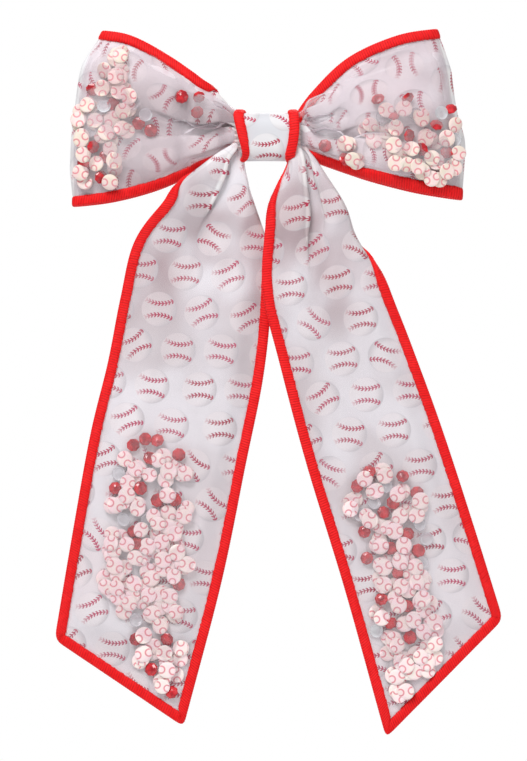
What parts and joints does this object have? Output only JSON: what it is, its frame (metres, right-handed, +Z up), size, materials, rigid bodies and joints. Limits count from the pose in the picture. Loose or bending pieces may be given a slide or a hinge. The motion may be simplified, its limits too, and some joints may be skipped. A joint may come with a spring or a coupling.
{
  "type": "hair bow",
  "caption": "Gathered ribbon hair bow with two long hanging tails, clear pockets of loose slices and beads, and a hinged spring clip behind the knot.",
  "frame": {"origin": "on the clip's fixed arm, on the face that grips the hair, straight behind the middle of the knot", "axes": "+Z up along the bow's height, +Y out of the clip's gripping face towards the head, so the front of the bow faces -Y, +X towards the right loop as seen from the front"},
  "size_m": [0.1875, 0.0411, 0.2966],
  "materials": {
    "printed_fabric": "smooth satin-like woven cloth, off-white, printed with small balls in pale grey and red",
    "clear_film": "thin clear vinyl, glossy, a little cloudy",
    "red_thread": "dense oversewn polyester thread with a soft sheen",
    "red_ribbon": "ribbed grosgrain ribbon",
    "clay_slice": "matt polymer clay, cream pink with red curved seams",
    "red_jelly": "see-through red acrylic, polished facets",
    "clear_acrylic": "clear acrylic, polished",
    "steel": "nickel-plated spring steel"
  },
  "bodies": {
    "bow": {"loop_fabric": "printed_fabric", "loop_film": "clear_film", "loop_top_edging": "red_thread", "loop_bottom_edging": "red_thread", "knot_fabric": "printed_fabric", "knot_left_edging": "red_thread", "knot_right_edging": "red_thread", "gather_thread": "red_thread", "tail_gather": "printed_fabric", "clip_lining": "red_ribbon", "clip_fixed_arm": "steel", "clip_pin": "steel", "clip_spring": "steel"},
    "jaw": {"clip_jaw": "steel"},
    "left_tail": {"left_tail_fabric": "printed_fabric", "left_tail_film": "clear_film", "left_tail_edging": "red_thread"},
    "right_tail": {"right_tail_fabric": "printed_fabric", "right_tail_film": "clear_film", "right_tail_edging": "red_thread"},
    "left_tail_filling": {"left_tail_slice_1": "clay_slice", "left_tail_slice_2": "clay_slice", "left_tail_slice_3": "clay_slice", "left_tail_slice_4": "clay_slice", "left_tail_slice_5": "clay_slice", "left_tail_slice_6": "clay_slice", "left_tail_slice_7": "clay_slice", "left_tail_red_bead_1": "red_jelly", "left_tail_red_bead_2": "red_jelly", "left_tail_red_bead_3": "red_jelly", "left_tail_red_bead_4": "red_jelly", "left_tail_clear_bead_1": "clear_acrylic"},
    "right_tail_filling": {"right_tail_slice_1": "clay_slice", "right_tail_slice_2": "clay_slice", "right_tail_slice_3": "clay_slice", "right_tail_slice_4": "clay_slice", "right_tail_slice_5": "clay_slice", "right_tail_slice_6": "clay_slice", "right_tail_slice_7": "clay_slice", "right_tail_red_bead_1": "red_jelly", "right_tail_red_bead_2": "red_jelly", "right_tail_red_bead_3": "red_jelly", "right_tail_red_bead_4": "red_jelly", "right_tail_clear_bead_1": "clear_acrylic"},
    "left_loop_filling": {"left_loop_slice_1": "clay_slice", "left_loop_slice_2": "clay_slice", "left_loop_slice_3": "clay_slice", "left_loop_slice_4": "clay_slice", "left_loop_red_bead_1": "red_jelly", "left_loop_red_bead_2": "red_jelly", "left_loop_clear_sequin_1": "clear_acrylic"},
    "right_loop_filling": {"right_loop_slice_1": "clay_slice", "right_loop_slice_2": "clay_slice", "right_loop_slice_3": "clay_slice", "right_loop_slice_4": "clay_slice", "right_loop_red_bead_1": "red_jelly", "right_loop_red_bead_2": "red_jelly", "right_loop_clear_sequin_1": "clear_acrylic"}
  },
  "joints": [
    {"name": "clip_open", "type": "hinge", "parent": "bow", "child": "jaw", "pos_m": [0.009, 0.0036, 0], "axis": [0, 0, -1], "range_deg": [0, 24], "stiffness_Nm_per_rad": 0.12, "springref_deg": -20.05, "deforming": ["clip_spring"]},
    {"name": "right_tail_swing", "type": "hinge", "parent": "bow", "child": "right_tail", "pos_m": [0, -0.0153, 0.001], "axis": [-1, 0, 0], "range_deg": [0, 60]},
    {"name": "left_tail_swing", "type": "hinge", "parent": "bow", "child": "left_tail", "pos_m": [0, -0.0153, 0.001], "axis": [-1, 0, 0], "range_deg": [0, 60]},
    {"name": "left_tail_filling_slide", "type": "slide", "parent": "left_tail", "child": "left_tail_filling", "axis": [0.1942, 0, 0.981], "range_m": [0, 0.04]},
    {"name": "right_tail_filling_slide", "type": "slide", "parent": "right_tail", "child": "right_tail_filling", "axis": [-0.2957, 0, 0.9553], "range_m": [0, 0.04]},
    {"name": "left_loop_filling_slide", "type": "slide", "parent": "bow", "child": "left_loop_filling", "axis": [1, 0, 0], "range_m": [0, 0.003]},
    {"name": "right_loop_filling_slide", "type": "slide", "parent": "bow", "child": "right_loop_filling", "axis": [-1, 0, 0], "range_m": [0, 0.003]}
  ],
  "couplings": [
    {"joint": "left_tail_swing", "follows": "right_tail_swing", "ratio": 1}
  ]
}
